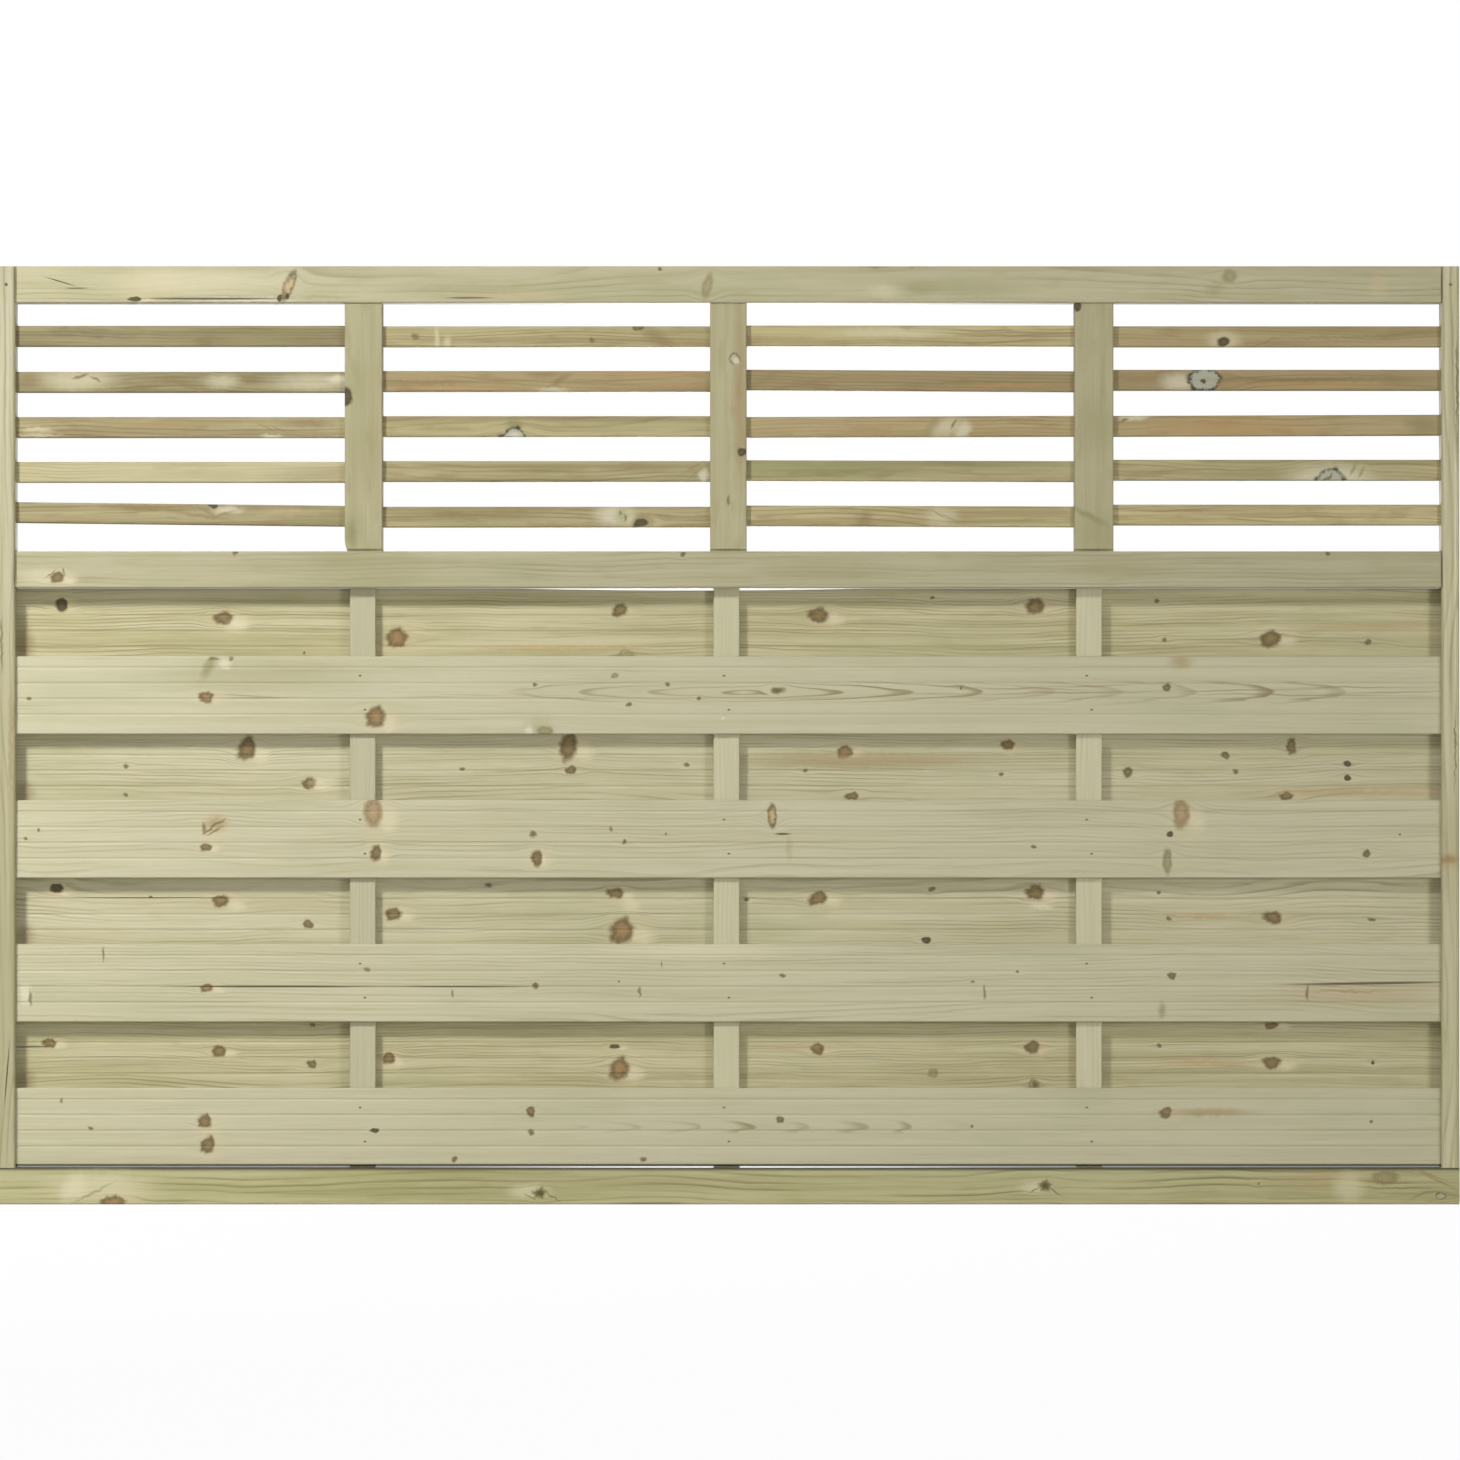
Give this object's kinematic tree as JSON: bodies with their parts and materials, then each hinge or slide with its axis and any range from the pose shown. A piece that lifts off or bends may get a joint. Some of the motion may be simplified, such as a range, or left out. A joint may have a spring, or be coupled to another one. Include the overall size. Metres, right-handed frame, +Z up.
{
  "type": "wooden fence panel",
  "caption": "Garden fence panel in pressure-treated softwood, boarded hit and miss below a slatted top.",
  "frame": {"origin": "middle of the underside of the bottom rail", "axes": "+X along the panel to its right as seen from the front, +Y from front to back, +Z up"},
  "size_m": [1.8, 0.045, 1.155],
  "materials": {
    "frame_timber": "planed pressure-treated softwood, green-tan",
    "slat_timber": "planed pressure-treated softwood, browner",
    "batten_timber": "planed pressure-treated softwood, pale",
    "front_board_timber": "planed and lightly grooved pressure-treated softwood, pale",
    "back_board_timber": "planed and lightly grooved pressure-treated softwood, yellower",
    "galvanised_nails": "dull zinc",
    "galvanised_screws": "dull zinc"
  },
  "bodies": {
    "root": {"bottom_rail": "frame_timber", "mid_rail": "frame_timber", "top_rail": "frame_timber", "left_stile": "frame_timber", "right_stile": "frame_timber", "muntin_1": "frame_timber", "muntin_2": "frame_timber", "muntin_3": "frame_timber", "slat_row_1_bay_1": "slat_timber", "slat_row_1_bay_2": "slat_timber", "slat_row_1_bay_3": "slat_timber", "slat_row_1_bay_4": "slat_timber", "slat_row_2_bay_1": "slat_timber", "slat_row_2_bay_2": "slat_timber", "slat_row_2_bay_3": "slat_timber", "slat_row_2_bay_4": "slat_timber", "slat_row_3_bay_1": "slat_timber", "slat_row_3_bay_2": "slat_timber", "slat_row_3_bay_3": "slat_timber", "slat_row_3_bay_4": "slat_timber", "slat_row_4_bay_1": "slat_timber", "slat_row_4_bay_2": "slat_timber", "slat_row_4_bay_3": "slat_timber", "slat_row_4_bay_4": "slat_timber", "slat_row_5_bay_1": "slat_timber", "slat_row_5_bay_2": "slat_timber", "slat_row_5_bay_3": "slat_timber", "slat_row_5_bay_4": "slat_timber", "batten_1": "batten_timber", "batten_2": "batten_timber", "batten_3": "batten_timber", "front_board_1": "front_board_timber", "front_board_2": "front_board_timber", "front_board_3": "front_board_timber", "front_board_4": "front_board_timber", "back_board_1": "back_board_timber", "back_board_2": "back_board_timber", "back_board_3": "back_board_timber", "back_board_4": "back_board_timber", "front_board_nails": "galvanised_nails", "back_board_nails": "galvanised_nails", "tenon_pins": "galvanised_nails", "corner_screws": "galvanised_screws"}
  },
  "joints": []
}
